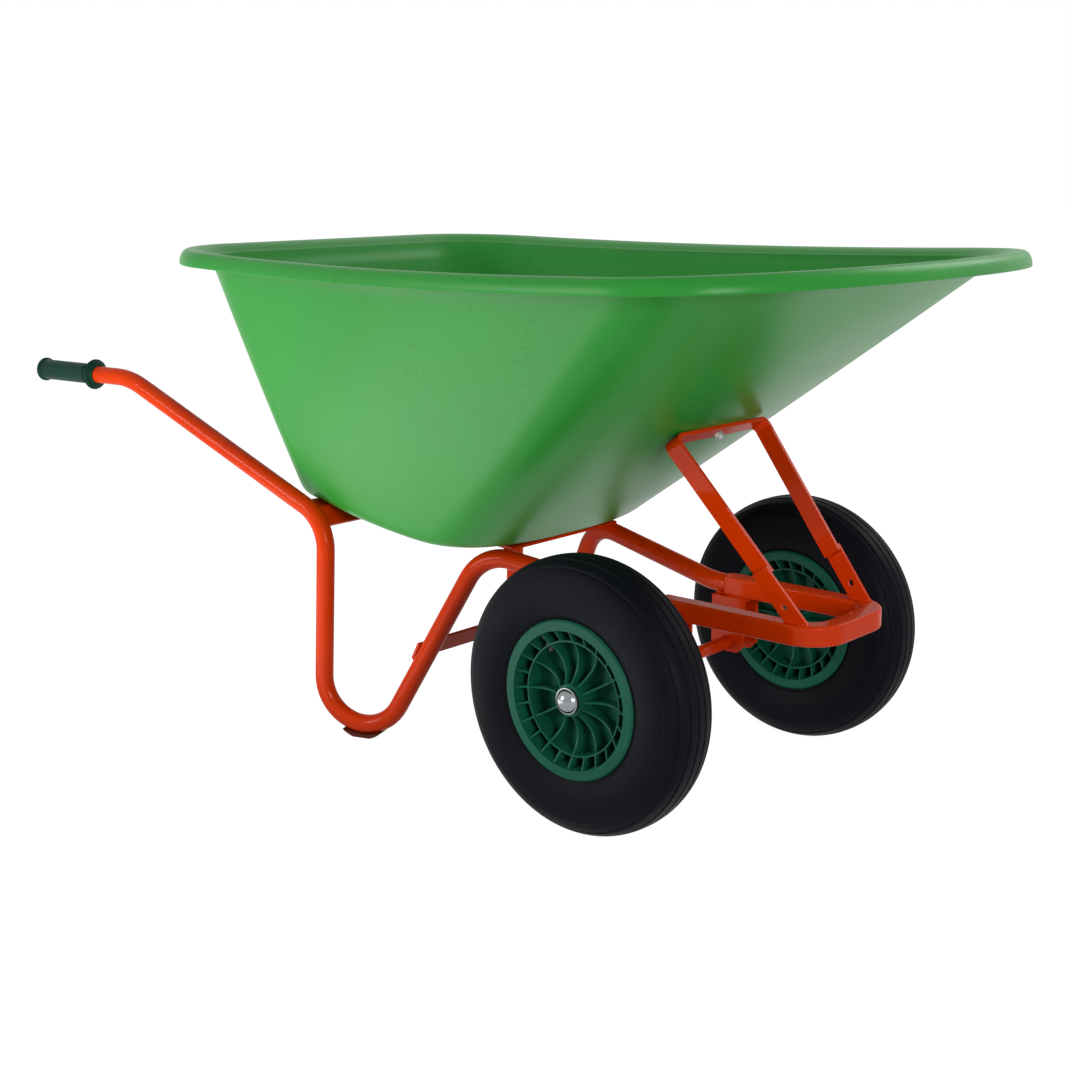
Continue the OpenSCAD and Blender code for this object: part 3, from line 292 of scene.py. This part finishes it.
EDGES = {"rear_cross_plate": 0.0008, "floor_strip": 0.0008, "lower_crossbar": 0.0008, "yoke": 0.0008,
         "left_yoke_lug": 0.0007, "right_yoke_lug": 0.0007, "left_axle_bracket": 0.0008,
         "right_axle_bracket": 0.0008, "left_wear_shoe": 0.0008, "right_wear_shoe": 0.0008,
         "yoke_nut": 0.0004, "tray_nuts": 0.0004}
for name, width in EDGES.items():
    soften(name, width)
print("softened", len(EDGES), "solids")

# %% [markdown]
# ## The tray's skin
# The real tray is drawn down from a sheet into a mould, so it is one smooth skin: a sloping floor,
# round corners, leaning walls and a rolled lip. It could be sculpted, but the outline is known, so the
# skin is a loft: one ring round the floor, one round the lip, and rings between them along each wall.
# First come the two outlines, in millimetres from the axle.

# %% The tray's two outlines
REAR, CORNER, SIDE, NOSE = 8, 14, 14, 34  # points along each part of half a ring
LIP_BACK, LIP_FRONT = -827, 394


def half_outline(back, shoulder, front, half_back, half, corner, power):
    """Half a ring from the middle of the back, round the corner, to the middle of the nose."""
    quarter = np.linspace(0, math.pi / 2, CORNER, endpoint=False)
    bow = np.linspace(0, math.pi / 2, NOSE + 1)
    part = np.linspace(0, 1, SIDE, endpoint=False)
    rear = [(back, (half_back - corner) * i / REAR) for i in range(REAR)]
    bend = [(back + corner * (1 - math.cos(a)), half_back - corner * (1 - math.sin(a))) for a in quarter]
    side = [(back + corner + (shoulder - back - corner) * t,
             half_back + (half - half_back) * math.sin(math.pi / 2 * t)) for t in part]
    nose = [(shoulder + (front - shoulder) * math.sin(a) ** (2 / power),
             half * max(math.cos(a), 0.0) ** (2 / power)) for a in bow]
    return np.array(rear + bend + side + nose)


def whole_outline(half):
    return np.concatenate([half, half[-2:0:-1] * (1, -1)])


floor_line = whole_outline(half_outline(back=-700, shoulder=-385, front=-262, half_back=203, half=232,
                                        corner=48, power=2.9))
lip_line = whole_outline(half_outline(back=LIP_BACK, shoulder=160, front=LIP_FRONT, half_back=390,
                                      half=455, corner=159, power=2.25))
print("outlines of", len(floor_line), "and", len(lip_line), "points")

# %% [markdown]
# Next come the heights: the floor is a sloping plane that rests on the frame, so its height is measured
# from the solid tray, and the lip rises a little to the back and to the nose.

# %% Floor, crest and wall directions
TILT = math.radians(5.2)
WALL, EDGE_R, BULGE = 4.5, 28.0, 2.0
LIP_OUT, LIP_DROP, LIP_IN, LIP_DIP = 13.5, 22.0, 36.0, 15.0
CREST_Z, NOSE_RISE, CREST_SAG = 800, 10, 13
tray_points = np.array([v.co for v in parts["tray"].data.vertices]) * 1000 - (AXLE.x * 1000, 0, 0)
FLOOR_BED = (tray_points @ (math.sin(TILT), 0, math.cos(TILT))).min()


def floor_height(x):
    return (FLOOR_BED - x * math.sin(TILT)) / math.cos(TILT)


def unit(rows):
    return rows / np.linalg.norm(rows, axis=1, keepdims=True)


share = (lip_line[:, 0] - LIP_BACK) / (LIP_FRONT - LIP_BACK)
crest = np.column_stack([lip_line, CREST_Z + NOSE_RISE * share - CREST_SAG * 4 * share * (1 - share)])
along = np.roll(lip_line, -1, 0) - np.roll(lip_line, 1, 0)
outward = unit(np.column_stack([-along[:, 1], along[:, 0], np.zeros(len(along))]))


def lip_ring(out, up):
    return crest + out * outward + (0, 0, up)


foot = np.column_stack([floor_line, floor_height(floor_line[:, 0])])
wall_top = lip_ring(-LIP_IN, -LIP_DIP)
rise = wall_top - foot
wall_up = unit(rise)
flat_run = np.hypot(rise[:, 0], rise[:, 1])[:, None]
wall_side = rise * (1, 1, 0) / flat_run
wall_length = np.linalg.norm(rise, axis=1, keepdims=True)
inward = (flat_run * (0, 0, 1) - rise[:, 2:] * wall_side) / wall_length
inner_foot = foot + (0, 0, WALL) + wall_side * WALL * (flat_run - wall_length) / rise[:, 2:]
print("floor height at the axle would be", round(floor_height(0), 1), "mm")

# %% [markdown]
# The skin is then a list of rings: up the outside, under the lip, round its roll, over it and down the
# inside. Each ring has as many points, so quads join them, and two flat faces close the floor.

# %% Loft the tray
EDGE_RINGS, WALL_RINGS, LIP_RINGS, UNDER_RINGS, TIP_RINGS, ROLL_RINGS = 11, 13, 7, 9, 7, 10
LIP_START, LIP_STOP = 0.15, 0.92  # where the lip's rings begin under it and end over it


def on_floor(points, lift=0.0):
    return np.column_stack([points[:, :2], floor_height(points[:, 0]) + lift])


def arc(a, b, c, u):
    return (1 - u) ** 2 * a + 2 * u * (1 - u) * b + u * u * c


outer_low, outer_high = on_floor(foot - wall_side * EDGE_R), foot + wall_up * EDGE_R
inner_low, inner_high = on_floor(inner_foot - wall_side * EDGE_R, WALL), inner_foot + wall_up * EDGE_R
rings = [arc(outer_low, foot, outer_high, u) for u in np.linspace(0, 1, EDGE_RINGS)]
wall_part = np.linspace(0, 1, WALL_RINGS)
swell = [-inward * BULGE * 4 * t * (1 - t) for t in wall_part]
rings += [outer_high + (wall_top - outer_high) * t + s for t, s in zip(wall_part, swell)][1:]
rings += [lip_ring(-LIP_IN * (1 - t), -WALL - (LIP_DIP - WALL) * (1 - t) ** 2)
          for t in np.linspace(LIP_START, 1, LIP_RINGS)]
for a in np.linspace(0, math.pi / 2, UNDER_RINGS)[1:]:
    rings.append(lip_ring((LIP_OUT - WALL) * math.sin(a), -WALL - (LIP_DROP - WALL) * (1 - math.cos(a))))
for a in np.linspace(0, math.pi, TIP_RINGS)[1:-1]:
    rings.append(lip_ring(LIP_OUT - WALL / 2 - WALL / 2 * math.cos(a), -LIP_DROP - WALL / 3 * math.sin(a)))
for a in np.linspace(math.pi / 2, 0, ROLL_RINGS):
    rings.append(lip_ring(LIP_OUT * math.sin(a), -LIP_DROP * (1 - math.cos(a))))
rings += [lip_ring(-LIP_IN * t, -LIP_DIP * t * t) for t in np.linspace(0, LIP_STOP, LIP_RINGS + 1)[1:]]
top_in = wall_top + inward * WALL
rings += [inner_high + (top_in - inner_high) * t + s for t, s in zip(wall_part, swell)][:0:-1]
rings += [arc(inner_low, inner_foot, inner_high, u) for u in np.linspace(1, 0, EDGE_RINGS)]


def skin_of_rings(name, rings, closed_ends):
    """A mesh object from rings of equal length, in metres; the ends are closed by flat faces."""
    n = len(rings[0])
    faces = [(j * n + i, j * n + (i + 1) % n, (j + 1) * n + (i + 1) % n, (j + 1) * n + i)
             for j in range(len(rings) - 1) for i in range(n)]
    if closed_ends:
        faces += [tuple(range(n - 1, -1, -1)), tuple((len(rings) - 1) * n + i for i in range(n))]
    mesh = bpy.data.meshes.new(name)
    mesh.from_pydata(np.concatenate(rings).tolist(), [], faces)
    mesh.polygons.foreach_set("use_smooth", [True] * len(mesh.polygons))
    mesh.update()
    skin = bpy.data.objects.new(name, mesh)
    bpy.context.scene.collection.objects.link(skin)
    return skin


tray_skin = skin_of_rings("tray_skin", [r / 1000 + (AXLE.x, 0, 0) for r in rings], True)
tray_skin.data.materials.append(finishes["tray_plastic"])
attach(tray_skin, "frame")
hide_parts("tray")
print("tray of", len(tray_skin.data.polygons), "faces")

# %% [markdown]
# ## The tyres
# A barrow tyre has a rounded side, a ribbed tread and a thin raised line above the rim. A lathe is the
# natural way: the section is drawn once, with round-bottomed grooves, and turned about the axle.

# %% The tyre's section
BELLY, CROWN, HALF_W, POWER, TREAD_SHARE = 156.0, 44.0, 48.5, 2.4, 0.92
BEAD_R, BEAD_H, FLANGE_R, MOUTH_H = 101.7, 37.8, 114.5, 24.8
TREAD_WALL, SIDE_WALL, BEAD_W = 9, 6, 13
GROOVES, GROOVE_DEPTH, GROOVE_HALF, GROOVE_SLOPE = 6, 2.5, 1.75, 0.9
RAISED_LINES, LINE_HALF = ((121.0, 0.7), (124.0, 0.5), (172.0, 0.6)), 0.9
TREAD_HALF = HALF_W * TREAD_SHARE


def tread_radius(h):
    return BELLY + CROWN * (1 - np.abs(h / HALF_W) ** POWER) ** (1 / POWER)


low_share = BEAD_H / HALF_W
low_r = (BELLY - FLANGE_R) / math.sqrt(1 - low_share ** 2)
low_angle = np.linspace(math.acos(low_share), 0, 30)
low_side = np.column_stack([BELLY - low_r * np.sin(low_angle), HALF_W * np.cos(low_angle)])
turn = np.linspace(0, math.acos(TREAD_SHARE ** (POWER / 2)), 40)[1:]
shoulder = np.column_stack([BELLY + CROWN * np.sin(turn) ** (2 / POWER),
                            HALF_W * np.cos(turn) ** (2 / POWER)])
side_line = np.concatenate([low_side, shoulder])
for line_r, height in RAISED_LINES:
    side_line[:, 1] += height * np.exp(-((side_line[:, 0] - line_r) / LINE_HALF) ** 2)
across = np.linspace(TREAD_HALF, -TREAD_HALF, 187)[1:-1]
pitch = 2 * TREAD_HALF / GROOVES
offset = np.abs((across + TREAD_HALF) % pitch - pitch / 2)
depth = GROOVE_DEPTH * np.clip((GROOVE_HALF - offset) / GROOVE_SLOPE, 0, 1)
tread = np.column_stack([tread_radius(across) - depth, across])
hollow_half = HALF_W - SIDE_WALL
mouth_turn = math.acos(MOUTH_H / hollow_half)
hollow_turn = np.linspace(-mouth_turn, math.pi + mouth_turn, 25)
hollow = np.column_stack([
    BELLY + np.sin(hollow_turn) * np.where(np.sin(hollow_turn) > 0, CROWN - TREAD_WALL,
                                           BELLY - BEAD_R - BEAD_W),
    hollow_half * np.cos(hollow_turn)])
section = np.concatenate([[(BEAD_R, MOUTH_H), (BEAD_R, BEAD_H)], side_line, tread,
                          side_line[::-1] * (1, -1), [(BEAD_R, -BEAD_H), (BEAD_R, -MOUTH_H)], hollow[::-1]])
print("section of", len(section), "points")

# %% Turn the tyres
def turn_section(name, section, side_y, steps=160):
    """Turns a section of (radius, height) points in millimetres about the axle."""
    rings = []
    for k in range(steps):
        a = math.tau * k / steps
        r, h = section[:, 0] / 1000, section[:, 1] / 1000
        rings.append(np.column_stack([AXLE.x + r * math.cos(a), side_y + h, AXLE.z + r * math.sin(a)]))
    return skin_of_rings(name, rings + rings[:1], False)


for side in ("left", "right"):
    low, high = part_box(side + "_tyre")
    tyre = turn_section(side + "_tyre_skin", section, (low.y + high.y) / 2)
    tyre.data.materials.append(finishes["tyre_rubber"])
    join = tyre.modifiers.new("join", "WELD")
    join.merge_threshold = 0.00001
    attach(tyre, side + "_wheel")
    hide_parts(side + "_tyre")
    print(tyre.name, len(tyre.data.polygons), "faces")

# %% [markdown]
# ## Weld beads
# The frame is welded by hand, and the beads show where bars meet tubes. Displacement could raise them,
# but a bead is its own lump of metal: a small rippled sausage along a line, with tapering ends. Some
# lines are read from the solids, and the rest are given as numbers.

# %% A rippled bead along a line
bead_points, bead_faces = [], []


def lay_bead(path, size):
    """Adds one bead along a path of points in metres."""
    path = np.array(path, float)
    walked = np.concatenate([[0], np.cumsum(np.linalg.norm(np.diff(path, axis=0), axis=1))])
    s = np.linspace(0, walked[-1], max(7, int(walked[-1] / (size * 0.28))))
    line = np.column_stack([np.interp(s, walked, path[:, k]) for k in range(3)])
    ahead = unit(np.gradient(line, axis=0))
    left = unit(np.cross(ahead, (0.31, 0.52, 0.79)))
    up = np.cross(ahead, left)
    end = np.clip(np.minimum(s, walked[-1] - s) / size, 0, 1)
    thick = size * (0.9 + 0.16 * np.sin(s / size * 2.6)) * np.sqrt(0.08 + 0.92 * end)
    turns = np.linspace(0, math.tau, 10, endpoint=False)
    start = len(bead_points)
    for p, l, u, t in zip(line, left, up, thick):
        bead_points.extend((p + t * (math.cos(a) * l + math.sin(a) * u)).tolist() for a in turns)
    n = len(turns)
    for j in range(len(s) - 1):
        for i in range(n):
            k = (i + 1) % n
            near, far = start + j * n, start + (j + 1) * n
            bead_faces.append((near + i, near + k, far + k, far + i))
    bead_faces.append(tuple(start + i for i in range(n - 1, -1, -1)))
    bead_faces.append(tuple(start + (len(s) - 1) * n + i for i in range(n)))


# %% Beads at the lugs
def points_of(name):
    return np.array([v.co for v in parts[name].data.vertices])


lug_axis = {m["name"]: np.array(m["axis"]) for m in frame["record"]["mounts"] if "lug" in m["name"]}
for side in ("left", "right"):
    spots = points_of(side + "_yoke_lug")
    across_plate = spots @ lug_axis[side + "_lug_hole"]
    on_rail = spots[:, 2] < spots[:, 2].min() + 0.0005
    for face in (across_plate.min(), across_plate.max()):
        edge = spots[on_rail & (np.abs(across_plate - face) < 0.0012)]
        ends = edge[[edge[:, 0].argmin(), edge[:, 0].argmax()]]
        lay_bead(ends + (0, 0, 0.0002), 0.0023)
    inner = spots[np.abs(across_plate - across_plate.min()) < 0.0012]
    foot_mid = inner[inner[:, 2] < inner[:, 2].min() + 0.0005].mean(0)
    far = inner[np.argsort(-np.linalg.norm(inner - foot_mid, axis=1))]
    top_a = far[0]
    top_b = next(p for p in far if np.linalg.norm(p - top_a) > 0.02)
    lay_bead([top_a, top_b], 0.0022)
print(len(bead_faces), "faces of weld")

# %% Beads at the rails, the brackets and the bars
RAIL_Y, RAIL_Z, TUBE_R = 0.0865, 0.288, 0.015
SEAM_BACK, SEAM_R = 0.0104, 0.0152
SQUARE_EDGE, SQUARE_FOOT, SQUARE_RUN = 0.0158, 0.2733, (-0.006, 0.029)
ROUND_EDGE, ROUND_FOOT, ROUND_RUN = 0.0088, 0.2741, (-0.029, -0.013)
BAR_BAND, UPPER_Y, LOWER_Y, BAR_HALF = 0.006, 0.170, 0.175, 0.008
FOLD_X, FOLD_GAP, FOLD_LENGTH, FOLD_TURN = -618.0, 0.2, 36, math.radians(49)
STRIP_DEPTH, STRIP_GAP, STRIP_RUN = 5.3, 0.0007, (0.016, 0.001)
for sign in (-1, 1):
    rail_y, seam_x = sign * RAIL_Y, AXLE.x - SEAM_BACK
    lay_bead([(seam_x, rail_y + SEAM_R * math.cos(a), RAIL_Z + SEAM_R * math.sin(a))
              for a in np.linspace(0, math.tau, 41)], 0.0016)
    for edge in (-1, 1):
        square_y, round_y = rail_y + edge * SQUARE_EDGE, rail_y + edge * ROUND_EDGE
        lay_bead([(AXLE.x + x, square_y, SQUARE_FOOT) for x in SQUARE_RUN], 0.0019)
        lay_bead([(AXLE.x + x, round_y, ROUND_FOOT) for x in ROUND_RUN], 0.0019)
    bar = points_of("lower_crossbar")
    upper = bar[bar[:, 2] > bar[:, 2].max() - BAR_BAND]
    lower = bar[bar[:, 2] < bar[:, 2].min() + BAR_BAND]
    for edge, tube_y in ((upper[upper[:, 2].argmin()], UPPER_Y), (lower[lower[:, 0].argmax()], LOWER_Y)):
        lay_bead([(edge[0] + TUBE_R - math.sqrt(TUBE_R ** 2 - t * t), sign * tube_y + t, edge[2])
                  for t in np.linspace(-BAR_HALF, BAR_HALF, 7)], 0.002)
    plate_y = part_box("rear_cross_plate")[1].y
    fold = np.array((FOLD_X, 0.0, floor_height(FOLD_X) - FOLD_GAP))
    tip = fold + FOLD_LENGTH * np.array((math.cos(FOLD_TURN), 0, -math.sin(FOLD_TURN)))
    lay_bead([np.array((p[0] / 1000 + AXLE.x, sign * plate_y, p[2] / 1000)) for p in (fold, tip)], 0.0021)
    strip_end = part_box("floor_strip")[1]
    under = [(x, sign * (strip_end.y + STRIP_GAP), (floor_height((x - AXLE.x) * 1000) - STRIP_DEPTH) / 1000)
             for x in (strip_end.x - back for back in STRIP_RUN)]
    lay_bead(under, 0.0019)
bead_mesh = bpy.data.meshes.new("weld_beads")
bead_mesh.from_pydata(bead_points, [], bead_faces)
bead_mesh.polygons.foreach_set("use_smooth", [True] * len(bead_mesh.polygons))
weld_beads = bpy.data.objects.new("weld_beads", bead_mesh)
bpy.context.scene.collection.objects.link(weld_beads)
weld_beads.data.materials.append(finishes["frame_paint"])
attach(weld_beads, "frame")
print(len(bead_faces), "faces of weld in all")

# %% [markdown]
# ## Floor, light and camera
# The barrow stands in a white studio. The floor and the world are white to the camera and in
# reflections, and the floor still darkens under the barrow. Light Path does this in their materials,
# so no extra light falls on the barrow itself.

# %% The floor
def camera_or_mirror(tree):
    """One where a ray comes from the camera, from a mirror or through glass, and zero elsewhere."""
    path = add_node(tree, "ShaderNodeLightPath")
    either = add_node(tree, "ShaderNodeMath", {0: path.outputs["Is Camera Ray"],
                                               1: path.outputs["Is Glossy Ray"]}, operation="MAXIMUM")
    any_ray = add_node(tree, "ShaderNodeMath", {0: either.outputs["Value"],
                                                1: path.outputs["Is Transmission Ray"]}, operation="MAXIMUM")
    return any_ray.outputs["Value"]


FLOOR_HALF, FLOOR_GREY, FLOOR_GLOW = 30, 0.42, 0.92
floor_corners = [(x * FLOOR_HALF, y * FLOOR_HALF, 0) for x, y in ((-1, -1), (1, -1), (1, 1), (-1, 1))]
floor_mesh = bpy.data.meshes.new("studio_floor")
floor_mesh.from_pydata(floor_corners, [], [(0, 1, 2, 3)])
studio_floor = bpy.data.objects.new("studio_floor", floor_mesh)
bpy.context.scene.collection.objects.link(studio_floor)
studio_floor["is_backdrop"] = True
floor_finish = bpy.data.materials.new("studio_floor")
floor_finish.use_nodes = True
floor_tree = floor_finish.node_tree
floor_tree.nodes.remove(floor_tree.nodes["Principled BSDF"])
matte = add_node(floor_tree, "ShaderNodeBsdfDiffuse", {"Color": (FLOOR_GREY, FLOOR_GREY, FLOOR_GREY, 1.0)})
seen = add_node(floor_tree, "ShaderNodeMath", {0: camera_or_mirror(floor_tree), 1: FLOOR_GLOW},
                operation="MULTIPLY")
glow = add_node(floor_tree, "ShaderNodeEmission", {"Color": (1.0, 1.0, 1.0, 1.0),
                                                   "Strength": seen.outputs["Value"]})
both = add_node(floor_tree, "ShaderNodeAddShader", {0: matte.outputs["BSDF"], 1: glow.outputs["Emission"]})
floor_tree.links.new(both.outputs["Shader"], floor_tree.nodes["Material Output"].inputs["Surface"])
studio_floor.data.materials.append(floor_finish)
print("floor laid")

# %% The white world
WORLD_LIGHT = 0.25
world = bpy.data.worlds.new("studio")
bpy.context.scene.world = world
world.use_nodes = True
sky = world.node_tree.nodes["Background"]
sky.inputs["Color"].default_value = (1.0, 1.0, 1.0, 1.0)
level = add_node(world.node_tree, "ShaderNodeMapRange", {"Value": camera_or_mirror(world.node_tree),
                                                        "To Min": WORLD_LIGHT, "To Max": 1.0})
world.node_tree.links.new(level.outputs["Result"], sky.inputs["Strength"])
print("world lit")

# %% [markdown]
# Four soft lamps: a large one on the left in front, a weaker one on the right, one behind, and a low
# one on the floor in front, like the white board that a photographer lays down to lift the shaded wall.

# %% Studio lamps
def soft_lamp(name, place, size, power, aim=(0.0, 0.0, 0.4)):
    lamp = bpy.data.lights.new(name, "AREA")
    lamp.shape = "SQUARE"
    lamp.size = size
    lamp.energy = power
    holder = bpy.data.objects.new(name, lamp)
    bpy.context.scene.collection.objects.link(holder)
    holder.location = place
    holder.rotation_mode = "QUATERNION"
    holder.rotation_quaternion = (Vector(aim) - Vector(place)).to_track_quat("-Z", "Y")
    holder.visible_camera = False
    print(name, power, "W")


soft_lamp("key_lamp", (-1.5, -3.0, 1.2), 1.2, 44.0)
soft_lamp("fill_lamp", (3.0, -1.6, 1.0), 0.9, 38.0)
soft_lamp("back_lamp", (1.5, 2.6, 2.4), 1.3, 26.0)
soft_lamp("bounce_lamp", (-0.5, -0.98, 0.02), 1.1, 8.5, aim=(-0.5, -0.9799, 1.0))

# %% [markdown]
# The camera stands in front to the right and looks slightly down. The horizon sits above the middle of
# the picture, so the lens is shifted a little, as a product photographer shifts it to keep lines upright.

# %% The camera
EYE_FROM_AXLE, EYE_SIDE, EYE_HEIGHT = 1.446556, -2.041952, 0.940512
EYE_TURN, EYE_DOWN, LENS, LENS_SHIFT = 41.152, 9.944, 56.91, -80 / 1070
eye = bpy.data.cameras.new("portrait")
eye.sensor_width = 36.0
eye.lens = LENS
eye.shift_y = LENS_SHIFT
eye.clip_end = 200.0
portrait = bpy.data.objects.new("portrait", eye)
bpy.context.scene.collection.objects.link(portrait)
portrait.location = (AXLE.x + EYE_FROM_AXLE, EYE_SIDE, EYE_HEIGHT)
turned, down = math.radians(EYE_TURN), math.radians(EYE_DOWN)
gaze = Vector((-math.sin(turned) * math.cos(down), math.cos(turned) * math.cos(down), -math.sin(down)))
portrait.rotation_mode = "QUATERNION"
portrait.rotation_quaternion = gaze.to_track_quat("-Z", "Y")
bpy.context.scene.camera = portrait
bpy.context.scene.view_settings.view_transform = "Standard"
print("camera set")

# %% [markdown]
# ## Size and finish
# The skins must not make the barrow bigger than its solids, so the box of the shown pieces is measured.

# %% Measure the shown pieces
low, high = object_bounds()
